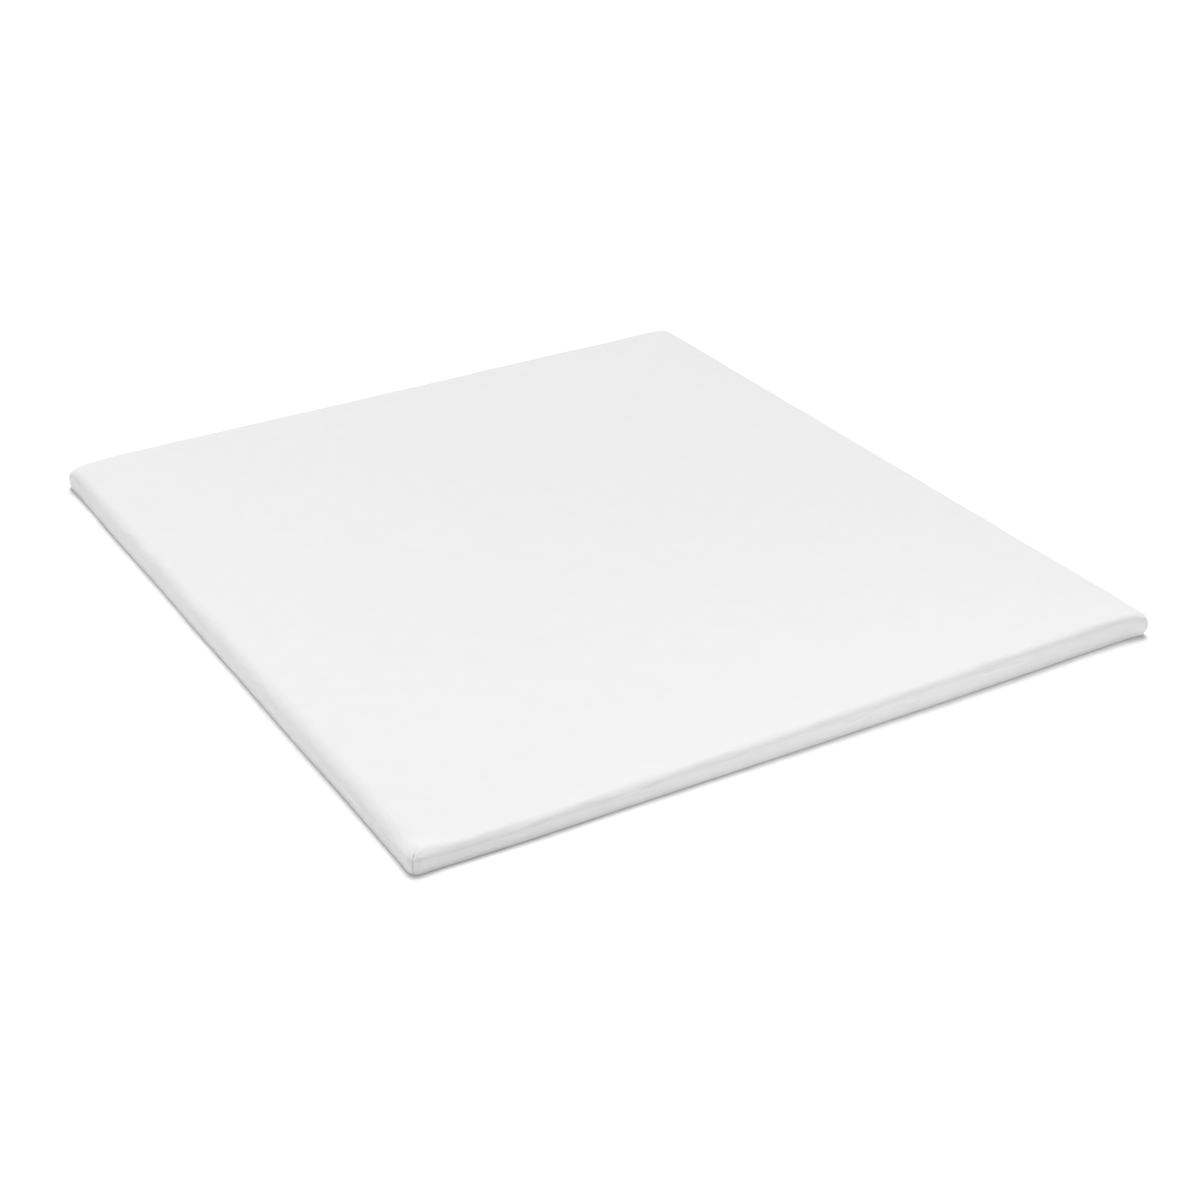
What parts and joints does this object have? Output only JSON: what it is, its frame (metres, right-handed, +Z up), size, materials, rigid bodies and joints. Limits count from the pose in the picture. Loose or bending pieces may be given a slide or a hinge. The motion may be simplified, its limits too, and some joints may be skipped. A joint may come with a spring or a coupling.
{
  "type": "memory foam mattress",
  "caption": "Thin rectangular memory foam mattress in a smooth white stretch cover with darted corners and a zip across the head end.",
  "frame": {"origin": "centre of the underside, on the surface that the mattress lies on", "axes": "+X across the bed, +Y towards the head end with the zip, +Z up out of the sleeping face"},
  "size_m": [1.8003, 2.0066, 0.06],
  "materials": {
    "cover_jersey": "smooth white stretch jersey",
    "underside_knit": "white warp-knit with a matt finish",
    "liner_knit": "thin off-white interlock knit",
    "memory_foam": "soft open-cell polyurethane foam, cream",
    "support_foam": "firmer open-cell polyurethane foam, pale grey-blue",
    "seam_thread": "white polyester thread",
    "zip_tape": "white woven polyester tape",
    "zip_coil": "white polyester monofilament",
    "zip_metal": "white enamelled zinc",
    "care_label": "blank white satin ribbon"
  },
  "bodies": {
    "mattress": {"memory_foam_layer": "memory_foam", "support_foam_layer": "support_foam", "liner_top": "liner_knit", "liner_bottom": "liner_knit", "liner_seam": "seam_thread", "cover_top": "cover_jersey", "cover_bottom": "underside_knit", "bottom_seam": "seam_thread", "dart_seam_front_left": "seam_thread", "dart_seam_front_right": "seam_thread", "dart_seam_rear_left": "seam_thread", "dart_seam_rear_right": "seam_thread", "zip_tape_upper": "zip_tape", "zip_tape_lower": "zip_tape", "zip_coil_upper": "zip_coil", "zip_coil_lower": "zip_coil", "zip_stop_closed_end": "zip_metal", "zip_stop_open_end": "zip_metal", "zip_stitch_upper": "seam_thread", "zip_stitch_lower": "seam_thread", "care_label": "care_label"},
    "slider": {"zip_slider": "zip_metal"},
    "pull_tab": {"zip_pull_tab": "zip_metal"}
  },
  "joints": [
    {"name": "zip_travel", "type": "slide", "parent": "mattress", "child": "slider", "axis": [1, 0, 0], "range_m": [0, 1.67]},
    {"name": "pull_tab_flip", "type": "hinge", "parent": "slider", "child": "pull_tab", "pos_m": [-0.835, 1.0045, 0.018], "axis": [0, 0, 1], "range_deg": [0, 180]}
  ]
}
